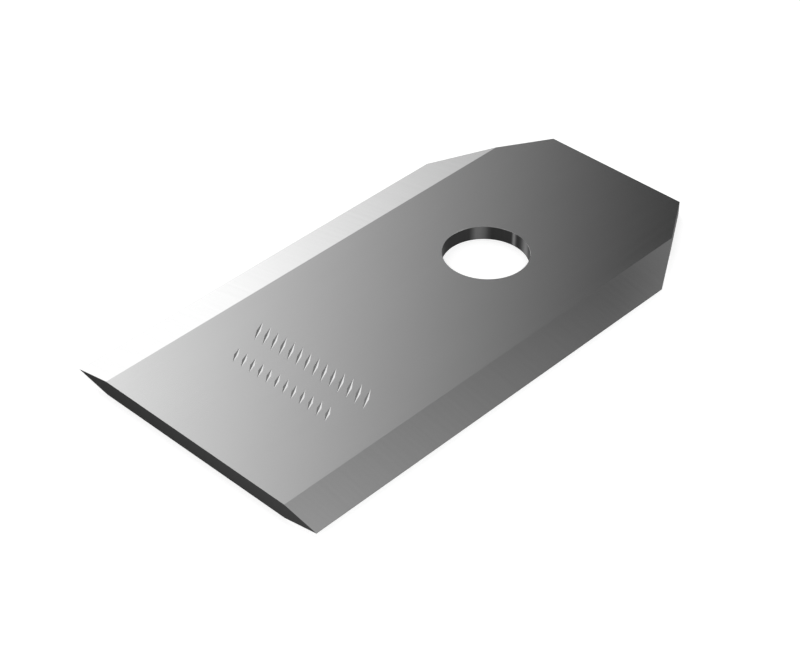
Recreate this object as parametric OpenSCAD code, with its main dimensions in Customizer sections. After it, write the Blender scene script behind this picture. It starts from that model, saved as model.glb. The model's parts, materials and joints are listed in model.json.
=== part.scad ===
// Swinging razor blade of a rotary mower: one flat piece of strip steel, ground to a cutting edge
// along both long sides, with two cropped corners and a punched hole at the end that it hangs from.
//
// The origin is on the axis of the pivot hole, at the lower face. +X runs along the blade from the
// pivot hole to the square outer end, +Y across it to one of the cutting edges, and +Z up.

/* [Strip] */
// Length from the mounting end to the square outer end
blade_l = 38; // [32:0.5:60]
// Width over the two cutting edges
blade_w = 20; // [18:0.5:30]
// Thickness of the strip between its two flat faces
blade_t = 1; // [0.6:0.05:2]

/* [Ground edges] */
// Width of each ground bevel, from the cutting edge in to the flat face
bevel_w = 2.5; // [1:0.1:4]
// Thickness that the grinding leaves at the cutting edge
edge_land = 0.02; // [0.01:0.01:0.1]

/* [Mounting end] */
// Length of each cropped corner, along the blade
corner_cut_l = 7.75; // [4:0.05:12]
// Width of each cropped corner, across the blade
corner_cut_w = 4.6; // [2:0.1:7]
// Distance from the mounting end to the centre of the pivot hole
hole_setback = 13; // [10:0.5:18]
// Diameter of the pivot hole
hole_d = 5.6; // [4:0.1:8]

/* [Hidden] */

// The two ends of the strip, measured from the pivot hole
mounting_end_x = -hole_setback;
outer_end_x = blade_l - hole_setback;

// Half of the width across the cutting edges and across the flat faces
half_w = blade_w / 2;
half_flat_w = half_w - bevel_w;

// Both bevels of a side meet halfway up the strip, at the cutting edge
edge_low_z = (blade_t - edge_land) / 2;
edge_high_z = (blade_t + edge_land) / 2;

// How far a cutting tool runs past the strip
overrun = 1;
hole_facets = 96;

// Section across the strip: the flat faces, the four bevels and the two cutting edges
module ground_section() {
    right_half = [
        [half_flat_w, 0],
        [half_w, edge_low_z],
        [half_w, edge_high_z],
        [half_flat_w, blade_t],
    ];
    left_half = [for (i = [len(right_half) - 1 : -1 : 0]) [-right_half[i].x, right_half[i].y]];
    polygon(concat(right_half, left_half));
}

// The strip as it leaves the grinder, with a square cut at each end
module ground_strip() {
    translate([mounting_end_x, 0, 0])
        rotate([90, 0, 90])
            linear_extrude(blade_l)
                ground_section();
}

// Tool for one cropped corner. Its slanted side lies on the cut and reaches one length of the cut
// past the strip at either end.
module corner_tool() {
    translate([mounting_end_x, half_w - corner_cut_w, -overrun])
        linear_extrude(blade_t + 2 * overrun)
            polygon([
                [-corner_cut_l, -corner_cut_w],
                [2 * corner_cut_l, 2 * corner_cut_w],
                [-corner_cut_l, 2 * corner_cut_w],
            ]);
}

// Punch for the hole that the blade swings on
module hole_tool() {
    translate([0, 0, -overrun])
        cylinder(h = blade_t + 2 * overrun, d = hole_d, $fn = hole_facets);
}

module blade() {
    color("silver")
        difference() {
            ground_strip();
            for (side = [0, 1])
                mirror([0, side, 0])
                    corner_tool();
            hole_tool();
        }
}

blade();
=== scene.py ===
# A swinging razor blade of a rotary mower, lying flat on a pale floor: one piece of strip steel,
# ground sharp along both long sides, with cropped corners and a punched pivot hole.
#
# Lengths are in metres, in the blade's own frame: the origin is on the axis of the pivot hole at
# the lower face, +X runs to the square outer end, +Y across to one cutting edge, and +Z up. An
# azimuth is in degrees, counted from +X towards +Y.
import json
import math

import bmesh
import bpy
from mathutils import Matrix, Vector


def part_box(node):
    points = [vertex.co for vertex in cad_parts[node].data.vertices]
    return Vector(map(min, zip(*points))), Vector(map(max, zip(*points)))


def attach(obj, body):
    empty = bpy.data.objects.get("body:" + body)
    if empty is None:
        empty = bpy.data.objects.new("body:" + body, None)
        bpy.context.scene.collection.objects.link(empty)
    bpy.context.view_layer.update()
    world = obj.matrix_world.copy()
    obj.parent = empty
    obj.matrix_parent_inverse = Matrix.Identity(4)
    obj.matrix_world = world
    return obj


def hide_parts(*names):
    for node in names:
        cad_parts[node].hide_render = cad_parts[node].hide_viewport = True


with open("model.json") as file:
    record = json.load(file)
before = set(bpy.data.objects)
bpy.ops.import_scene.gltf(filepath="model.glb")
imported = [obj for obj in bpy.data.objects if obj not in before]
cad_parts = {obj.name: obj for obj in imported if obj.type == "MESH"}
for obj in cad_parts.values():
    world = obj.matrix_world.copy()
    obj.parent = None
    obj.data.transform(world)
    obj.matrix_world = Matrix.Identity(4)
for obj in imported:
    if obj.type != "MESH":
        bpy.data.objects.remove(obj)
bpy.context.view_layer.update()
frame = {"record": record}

MM = 0.001
# In degrees
FULL_TURN = 360
QUARTER_TURN = 90

# The strip and its hole, from the frame
STRIP_LOW, STRIP_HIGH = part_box("blade")
STRIP_SIZE = STRIP_HIGH - STRIP_LOW
STRIP_CENTRE = (STRIP_LOW + STRIP_HIGH) / 2
HALF_WIDTH = STRIP_SIZE.y / 2
MOUNTS = {mount["name"]: mount for mount in frame["record"]["mounts"]}
HOLE_RADIUS = MOUNTS["pivot_hole"]["dims"]["r_mm"] * MM

# Sides of the round punch
PUNCH_SIDES = 128

# The ground bevels, and the flat that is left at each cutting edge
BEVEL_WIDTH = 2.5 * MM
EDGE_LAND = 0.02 * MM
HALF_FLAT = HALF_WIDTH - BEVEL_WIDTH

# The cropped corners at the mounting end
CROP_LENGTH = 7.75 * MM
CROP_WIDTH = 4.6 * MM

# The break that tumbling leaves on every sheared edge
EDGE_BREAK = 0.01 * MM
EDGE_BREAK_FACETS = 2

# Two plain rows of slanted ticks, cut across the blade near its outer end with a pointed tool
TICK_DEPTH = 0.05 * MM
TICK_WIDTH = 0.26 * MM
TICK_PITCH = 0.7 * MM
TICK_TURN = math.radians(30)
TICK_ROWS = (
    {"x": 15.5 * MM, "count": 14, "length": 1.9 * MM},
    {"x": 18 * MM, "count": 12, "length": 1.4 * MM},
)
# The stretch of the blade, along X, that holds both rows
TICKED_STRETCH = (14 * MM, 19 * MM)

# How far a cutter runs past the steel, and how near a point counts as on a plane
OVERRUN = 1 * MM
TICK_OVERRUN = 0.02 * MM
TOUCH = 0.001 * MM

# A face whose normal rises by less than this is part of a sheared wall
WALL_RISE = 0.6
# What lies this near the hole's axis is the wall of the hole, with its broken rims
HOLE_REACH = HOLE_RADIUS + 5 * EDGE_BREAK
# Facets that turn by less than this from one to the next are shaded as one round
ROUND_ANGLE = math.radians(9)

# Tone of a sheared wall, somewhat darker steel in itself but painted nearly black as painted
# shade, and of the painted light on it
SHEARED_PAINTED_SHADE_TONE = 0.02
PAINTED_LIGHT_TONE = 0.26
# The share of painted reflection round the wall of the hole, by azimuth: its bright bands stand in
# for light that the wall mirrors
PAINTED_REFLECTION_BY_AZIMUTH = (
    (0, 0.04),
    (140, 0.2),
    (146, 0.3),
    (149, 0.55),
    (152, 0.85),
    (157, 0.93),
    (161, 0.7),
    (165, 0.4),
    (168, 0.15),
    (172, 0.05),
    (176, 0.04),
    (178, 0.18),
    (181, 0.75),
    (183, 0.6),
    (185, 0.03),
    (214, 0.02),
    (218, 0.1),
    (223, 0.3),
    (229, 0.44),
    (235, 0.44),
    (240, 0.19),
    (244, 0.04),
    (360, 0.04),
)
# The same along the cut ends, from the cutting edge at -Y to the one at +Y: painted light, lighter
# towards +Y
PAINTED_LIGHT_OF_ENDS = (0.04, 0.12)

# The floor lies a hair under the blade. It has a paint, and a glow that only the camera and the
# steel see.
FLOOR_SIZE = 1.2
FLOOR_GAP = 0.01 * MM
FLOOR_TONE = 0.62
FLOOR_GLOW = 0.7

# The studio's light, given as the tone that the steel shows in a picture where it mirrors this
# azimuth. The rows go once round.
TONE_BY_AZIMUTH = (
    (45, 0.42),
    (68, 0.3),
    (115, 0.88),
    (130, 0.8),
    (155, 0.35),
    (180, 0.6),
    (188, 0.5),
    (194.5, 0.5),
    (196, 0.45),
    (197.5, 0.3),
    (199, 0.1),
    (204, 0.03),
    (210, 0.04),
    (214, 0.18),
    (219, 0.41),
    (224.5, 0.6),
    (229, 0.74),
    (232, 0.84),
    (237, 1),
    (255, 1),
    (300, 0.28),
    (345, 0.8),
    (375, 0.68),
    (405, 0.42),
)
# The same by height above the floor, in degrees
TONE_BY_HEIGHT = (
    (0, 0),
    (38, 0.08),
    (42, 0.28),
    (44.5, 0.44),
    (45.5, 0.42),
    (47, 0.29),
    (48, 0.35),
    (50, 0.41),
    (57, 0.57),
    (70, 0.8),
    (90, 0.85),
)
# The greater of the two tones shows, and they blend where they differ by less than this
TONE_BLEND = 0.03
# Above this height, the tone by azimuth fades by this share of it for each quarter turn
FADE_FROM = 35
FADE = 0.6
# The share of the light that the steel reflects, and the gamma of a picture
STEEL_REFLECTANCE = 0.58
PICTURE_GAMMA = 2.2

# The photograph's camera. Its axis meets the picture at this pixel, counted from the left.
IMAGE_WIDTH_PX = 800
AXIS_X_PX = 372.36
FOCAL_PX = 2071.2
SENSOR_WIDTH_MM = 36
CAMERA_PLACE = Vector((80.854, 68.366, 78.96)) * MM
CAMERA_DIRECTION = Vector((-0.5627, -0.54559, -0.62104))
NEAREST_SEEN = 10 * MM

# The Mix node's sockets when it mixes colours
MIX_SHARE = 0
MIX_FIRST = 6
MIX_SECOND = 7
MIX_RESULT = 2


class Wire:
    """The output of a shader node. Arithmetic on wires adds Math nodes."""

    def __init__(self, board, socket):
        self.board = board
        self.socket = socket

    def other(self, name):
        """Another output of the same node."""
        return Wire(self.board, self.socket.node.outputs[name])

    def math(self, operation, *others):
        """Adds a Math node that takes this wire first."""
        return self.board.math(operation, self, *others)

    def __add__(self, value):
        return self.math("ADD", value)

    def __sub__(self, value):
        return self.math("SUBTRACT", value)

    def __rsub__(self, value):
        return self.board.math("SUBTRACT", value, self)

    def __mul__(self, value):
        return self.math("MULTIPLY", value)

    def __truediv__(self, value):
        return self.math("DIVIDE", value)

    def __pow__(self, value):
        return self.math("POWER", value)

    __radd__ = __add__
    __rmul__ = __mul__


class Board:
    """The shader nodes of one material or of the world."""

    def __init__(self, owner):
        owner.use_nodes = True
        self.tree = owner.node_tree
        self.tree.nodes.clear()

    def node(self, kind, settings=None, inputs=None, output=0):
        """Adds a node, with its settings first and then the values or wires of its inputs."""
        node = self.tree.nodes.new("ShaderNode" + kind)
        for name, value in (settings or {}).items():
            if name == "stops":
                self.set_stops(node.color_ramp, value)
            else:
                setattr(node, name, value)
        for name, value in (inputs or {}).items():
            if isinstance(value, Wire):
                self.tree.links.new(value.socket, node.inputs[name])
            else:
                node.inputs[name].default_value = value
        return Wire(self, node.outputs[output]) if node.outputs else node

    def math(self, operation, *values):
        """Adds a Math node on these values or wires."""
        return self.node("Math", {"operation": operation}, dict(enumerate(values)))

    @staticmethod
    def set_stops(ramp, stops):
        """Sets a ramp to grey stops, each a place and a tone."""
        while len(ramp.elements) < len(stops):
            ramp.elements.new(1)
        for element, (place, tone) in zip(ramp.elements, stops):
            element.position = place
            element.color = grey(tone)


def grey(tone):
    return (tone, tone, tone, 1)


def select_only(*pieces):
    """Selects these objects and makes the first of them active."""
    bpy.ops.object.select_all(action="DESELECT")
    for piece in pieces:
        piece.select_set(True)
    bpy.context.view_layer.objects.active = pieces[0]


def select_where(kind, test):
    """In edit mode, selects just the vertices or just the edges that pass a test."""
    mesh = bmesh.from_edit_mesh(bpy.context.object.data)
    bpy.ops.mesh.select_mode(type=kind)
    bpy.ops.mesh.select_all(action="DESELECT")
    for item in {"VERT": mesh.verts, "EDGE": mesh.edges}[kind]:
        item.select_set(test(item))
    mesh.select_flush_mode()
    bmesh.update_edit_mesh(bpy.context.object.data)


def apply_place():
    """Moves the active object's place, turn and scale into its mesh."""
    bpy.ops.object.transform_apply(location=True, rotation=True, scale=True)


def strip_blank():
    """The strip before grinding: a square bar, cut to length."""
    bpy.ops.object.select_all(action="DESELECT")
    bpy.ops.mesh.primitive_cube_add(size=1, location=STRIP_CENTRE, scale=STRIP_SIZE)
    blank = bpy.context.object
    blank.name = "ground_blade"
    apply_place()
    return blank


def grind_edges(blade):
    """Bisects the bar along both ridges and squeezes the sides to the cutting edges."""
    select_only(blade)
    bpy.ops.object.mode_set(mode="EDIT")
    for side in (-1, 1):
        bpy.ops.mesh.select_all(action="SELECT")
        bpy.ops.mesh.bisect(plane_co=(0, side * HALF_FLAT, 0), plane_no=(0, 1, 0), threshold=TOUCH)
    select_where("VERT", lambda vertex: abs(vertex.co.y) > HALF_FLAT + TOUCH)
    bpy.ops.transform.resize(
        value=(1, 1, EDGE_LAND / STRIP_SIZE.z), center_override=STRIP_CENTRE, orient_type="GLOBAL"
    )
    bpy.ops.object.mode_set(mode="OBJECT")


def crop_corners(blade):
    """Shears both corners off the mounting end."""
    select_only(blade)
    bpy.ops.object.mode_set(mode="EDIT")
    for side in (-1, 1):
        bpy.ops.mesh.select_all(action="SELECT")
        bpy.ops.mesh.bisect(
            plane_co=(STRIP_LOW.x, side * (HALF_WIDTH - CROP_WIDTH), 0),
            plane_no=(-CROP_WIDTH, side * CROP_LENGTH, 0),
            clear_outer=True,
            use_fill=True,
            threshold=TOUCH,
        )
    bpy.ops.object.mode_set(mode="OBJECT")


def on_flat_face(vertex):
    return min(abs(vertex.co.z - STRIP_LOW.z), abs(vertex.co.z - STRIP_HIGH.z)) < TOUCH


def break_edges(blade):
    """Takes the sharpness off the edges round both flat faces, except along the ridges."""

    def sheared(edge):
        along_ridge = all(abs(abs(vertex.co.y) - HALF_FLAT) < TOUCH for vertex in edge.verts)
        return all(on_flat_face(vertex) for vertex in edge.verts) and not along_ridge

    select_only(blade)
    bpy.ops.object.mode_set(mode="EDIT")
    select_where("EDGE", sheared)
    bpy.ops.mesh.bevel(offset=EDGE_BREAK, segments=EDGE_BREAK_FACETS, affect="EDGES")
    bpy.ops.object.mode_set(mode="OBJECT")


def hole_cutter():
    """A punch with a flare at each face, which breaks the rims of the hole."""
    bpy.ops.object.select_all(action="DESELECT")
    bpy.ops.mesh.primitive_cylinder_add(
        vertices=PUNCH_SIDES,
        radius=HOLE_RADIUS,
        depth=STRIP_SIZE.z + 2 * OVERRUN,
        location=(0, 0, STRIP_CENTRE.z),
    )
    cutter = bpy.context.object
    apply_place()
    bpy.ops.object.mode_set(mode="EDIT")
    for height in (STRIP_LOW.z + EDGE_BREAK, STRIP_HIGH.z - EDGE_BREAK):
        bpy.ops.mesh.select_all(action="SELECT")
        bpy.ops.mesh.bisect(plane_co=(0, 0, height), plane_no=(0, 0, 1), threshold=TOUCH)
    select_where("VERT", lambda vertex: not STRIP_LOW.z < vertex.co.z < STRIP_HIGH.z)
    flare = 1 + (EDGE_BREAK + OVERRUN) / HOLE_RADIUS
    bpy.ops.transform.resize(
        value=(flare, flare, 1), center_override=(0, 0, 0), orient_type="GLOBAL"
    )
    bpy.ops.object.mode_set(mode="OBJECT")
    return cutter


def tick_cutter(length):
    """A long four-sided point that sinks in to the depth of a tick."""
    height = TICK_DEPTH + TICK_OVERRUN
    widening = height / TICK_DEPTH
    bpy.ops.object.select_all(action="DESELECT")
    bpy.ops.mesh.primitive_cone_add(
        vertices=4,
        radius1=0,
        radius2=0.5,
        depth=1,
        location=(0, 0, STRIP_HIGH.z - TICK_DEPTH + height / 2),
        scale=(length * widening, TICK_WIDTH * widening, height),
    )
    cutter = bpy.context.object
    apply_place()
    return cutter


def tick_row(x, count, length):
    """The cutters of one row, centred across the blade, each with its own mesh."""
    pattern = tick_cutter(length)
    cutters = []
    for i in range(count):
        cutter = pattern.copy()
        cutter.data = pattern.data.copy()
        bpy.context.collection.objects.link(cutter)
        cutter.location = (x, (i - (count - 1) / 2) * TICK_PITCH, 0)
        cutter.rotation_euler.z = TICK_TURN
        select_only(cutter)
        apply_place()
        cutters.append(cutter)
    bpy.data.objects.remove(pattern)
    return cutters


def cut_out(blade, cutters):
    """Joins the cutters into one and takes them out of the blade."""
    select_only(*cutters)
    bpy.ops.object.join()
    cutter = bpy.context.object
    select_only(blade)
    bpy.ops.object.modifier_add(type="BOOLEAN")
    modifier = blade.modifiers[-1]
    modifier.operation = "DIFFERENCE"
    modifier.solver = "EXACT"
    modifier.object = cutter
    bpy.ops.object.modifier_apply(modifier=modifier.name)
    bpy.data.objects.remove(cutter)


def finish_faces(blade):
    """Gives each face the finish of the work that made it, and shades the hole as round."""
    finishes = {
        "rolled": rolled_flat(),
        "ground": ground_bevel(),
        # The sheared walls' material holds painted shade and painted reflections
        "sheared": sheared_wall_painted_shade_and_reflections(),
        "engraved": engraved_tick(),
    }
    slots = {work: slot for slot, work in enumerate(finishes)}
    select_only(blade)
    blade.data.materials.clear()
    for material in finishes.values():
        blade.data.materials.append(material)
    for face in blade.data.polygons:
        face.material_index = slots[work_of(face)]
    bpy.ops.object.shade_smooth_by_angle(angle=ROUND_ANGLE)


def work_of(face):
    """The work that made a face. A tick's sides face up, below the top and between the ridges."""
    start, end = TICKED_STRETCH
    among_ticks = start < face.center.x < end and abs(face.center.y) < HALF_FLAT
    if among_ticks and face.center.z < STRIP_HIGH.z - TOUCH and face.normal.z > 0:
        return "engraved"
    if abs(face.normal.z) < WALL_RISE:
        return "sheared"
    return "ground" if abs(face.center.y) > HALF_FLAT else "rolled"


def new_material(name):
    material = bpy.data.materials.new(name)
    return material, Board(material)


def steel(nodes, colour, roughness, bump, edge_tint=1):
    """The shader of bare steel, with its constants on the shader itself."""
    shader = nodes.node(
        "BsdfPrincipled",
        inputs={
            "Base Color": colour,
            "Roughness": roughness,
            "Normal": bump,
            "Metallic": 1,
            "Specular Tint": grey(edge_tint),
        },
    )
    nodes.node("OutputMaterial", inputs={"Surface": shader})


def stretched_noise(nodes, place, cell):
    """Noise whose cells have this size along X, Y and Z, in metres."""
    scaled = nodes.node("Mapping", inputs={"Vector": place, "Scale": [1 / size for size in cell]})
    return nodes.node("TexNoise", inputs={"Vector": scaled, "Scale": 1, "Detail": 2})


def mixed(nodes, share, dark, light):
    """A grey between two tones."""
    inputs = {MIX_SHARE: share, MIX_FIRST: grey(dark), MIX_SECOND: grey(light)}
    return nodes.node("Mix", {"data_type": "RGBA"}, inputs, output=MIX_RESULT)


def relief(nodes, pattern, depth):
    """A bump that follows a pattern, with its depth in metres."""
    return nodes.node("Bump", inputs={"Strength": 1, "Distance": depth, "Height": pattern})


def looked_up(nodes, share, table):
    """The tone that a table of degrees and tones gives at this share of the way through it."""
    first, last = table[0][0], table[-1][0]
    stops = [((degrees - first) / (last - first), tone) for degrees, tone in table]
    return nodes.node("ValToRGB", {"stops": stops}, {"Fac": share})


def by_azimuth(nodes, x, y, table):
    """The tone that a table gives at the azimuth of a point. The table goes once round."""
    turn = y.math("ARCTAN2", x) / math.tau - table[0][0] / FULL_TURN
    return looked_up(nodes, turn.math("FRACT"), table)


def rolled_flat():
    """The flats: cold-rolled strip, with faint streaks along the rolling direction."""
    material, nodes = new_material("rolled_flat")
    place = nodes.node("TexCoord", output="Object")
    streaks = stretched_noise(nodes, place, cell=(12 * MM, 0.35 * MM, 12 * MM))
    clouds = stretched_noise(nodes, place, cell=(5 * MM, 3 * MM, 5 * MM))
    colour = mixed(nodes, streaks * 0.5 + clouds * 0.5, dark=0.565, light=0.6)
    steel(nodes, colour, 0.175 + streaks * 0.02, relief(nodes, streaks, depth=0.0002 * MM))
    return material


def ground_bevel():
    """The bevels: fine grinding lines that run from the ridge down to the cutting edge."""
    material, nodes = new_material("ground_bevel")
    place = nodes.node("TexCoord", output="Object")
    lines = stretched_noise(nodes, place, cell=(0.3 * MM, 8 * MM, 8 * MM))
    colour = mixed(nodes, lines, dark=0.55, light=0.59)
    steel(nodes, colour, 0.08 + lines * 0.015, relief(nodes, lines, depth=0.0002 * MM))
    return material


def engraved_tick():
    """The marks: bare steel with the dull, slightly rough bottom of a cut groove."""
    material, nodes = new_material("engraved_tick")
    place = nodes.node("TexCoord", output="Object")
    grain = stretched_noise(nodes, place, cell=(0.1 * MM, 0.1 * MM, 0.1 * MM))
    colour = mixed(nodes, grain, dark=0.44, light=0.53)
    steel(nodes, colour, 0.24 + grain * 0.06, relief(nodes, grain, depth=0.001 * MM))
    return material


def sheared_wall_painted_shade_and_reflections():
    """The cut ends and the hole's wall: torn steel with drag lines through the thickness, somewhat
    darker in itself and painted nearly black as painted shade.

    The wall of the hole carries painted reflections in bands, and the cut ends a painted light
    that grows from -Y to +Y.
    """
    material, nodes = new_material("sheared_wall_painted_shade_and_reflections")
    place = nodes.node("TexCoord", output="Object")
    lines = stretched_noise(nodes, place, cell=(0.15 * MM, 0.15 * MM, 3 * MM))
    x = nodes.node("SeparateXYZ", inputs={"Vector": place})
    y = x.other("Y")
    from_axis = (x * x + y * y) ** 0.5
    in_hole = from_axis.math("LESS_THAN", HOLE_REACH)
    across = (y + HALF_WIDTH) / STRIP_SIZE.y
    # Painted light: bands of painted reflection round the hole's wall, and on the cut ends a
    # painted light that grows from -Y to +Y
    low, high = PAINTED_LIGHT_OF_ENDS
    ends_painted_light = low + across * (high - low)
    painted_light_share = by_azimuth(nodes, x, y, PAINTED_REFLECTION_BY_AZIMUTH) * in_hole + ends_painted_light * (1 - in_hole)
    # The sheared steel is painted nearly black as painted shade, and lighter where the painted
    # light lies
    colour = mixed(nodes, painted_light_share + lines * 0.04, SHEARED_PAINTED_SHADE_TONE, PAINTED_LIGHT_TONE)
    bump = relief(nodes, lines, depth=0.0005 * MM)
    # The low edge tint dims the sheared walls' grazing reflections: more painted shade
    steel(nodes, colour, 0.36 + lines * 0.08, bump, edge_tint=0.55)
    return material


def build_blade():
    blade = strip_blank()
    grind_edges(blade)
    crop_corners(blade)
    break_edges(blade)
    ticks = [cutter for row in TICK_ROWS for cutter in tick_row(**row)]
    cut_out(blade, [hole_cutter(), *ticks])
    finish_faces(blade)
    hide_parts("blade")
    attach(blade, "root")


def pale_floor():
    """A plain white floor that keeps the blade's shadow."""
    bpy.ops.object.select_all(action="DESELECT")
    bpy.ops.mesh.primitive_plane_add(
        size=FLOOR_SIZE, location=(STRIP_CENTRE.x, STRIP_CENTRE.y, STRIP_LOW.z - FLOOR_GAP)
    )
    floor = bpy.context.object
    floor.name = "floor"
    apply_place()
    material, nodes = new_material("pale_floor")
    rays = nodes.node("LightPath", output="Is Camera Ray")
    seen = rays.math("MAXIMUM", rays.other("Is Glossy Ray"))
    glow = nodes.node("Emission", inputs={"Color": grey(1), "Strength": seen * FLOOR_GLOW})
    paint = nodes.node("BsdfDiffuse", inputs={"Color": grey(FLOOR_TONE)})
    both = nodes.node("AddShader", inputs={0: paint, 1: glow})
    nodes.node("OutputMaterial", inputs={"Surface": both})
    floor.data.materials.append(material)


def studio():
    """Soft light that fades round the blade. The eye sees it as plain white."""
    world = bpy.data.worlds.new("studio")
    bpy.context.scene.world = world
    nodes = Board(world)
    direction = nodes.node("TexCoord", output="Generated")
    x = nodes.node("SeparateXYZ", inputs={"Vector": direction})
    height = x.other("Z").math("ARCSINE") / (math.pi / 2)
    fade = 1 - (height - FADE_FROM / QUARTER_TURN).math("MAXIMUM", 0) * FADE
    around = by_azimuth(nodes, x, x.other("Y"), TONE_BY_AZIMUTH) * fade
    above = looked_up(nodes, height, TONE_BY_HEIGHT)
    tone = around.math("SMOOTH_MAX", above, TONE_BLEND)
    strength = tone ** PICTURE_GAMMA / STEEL_REFLECTANCE
    light = nodes.node("Background", inputs={"Color": grey(1), "Strength": strength})
    white = nodes.node("Background", inputs={"Color": grey(1), "Strength": 1})
    seen = nodes.node("LightPath", output="Is Camera Ray")
    both = nodes.node("MixShader", inputs={0: seen, 1: light, 2: white})
    nodes.node("OutputWorld", inputs={"Surface": both})


def photo_camera():
    """The photograph's camera: its place, direction, lens and small sideways shift."""
    turn = CAMERA_DIRECTION.to_track_quat("-Z", "Y").to_euler()
    bpy.ops.object.camera_add(location=CAMERA_PLACE, rotation=turn)
    camera = bpy.context.object
    camera.data.sensor_width = SENSOR_WIDTH_MM
    camera.data.lens = FOCAL_PX / IMAGE_WIDTH_PX * SENSOR_WIDTH_MM
    camera.data.shift_x = (IMAGE_WIDTH_PX / 2 - AXIS_X_PX) / IMAGE_WIDTH_PX
    camera.data.clip_start = NEAREST_SEEN
    bpy.context.scene.camera = camera


photo_camera()
studio()
pale_floor()
build_blade()
bpy.context.scene.view_settings.view_transform = "Standard"
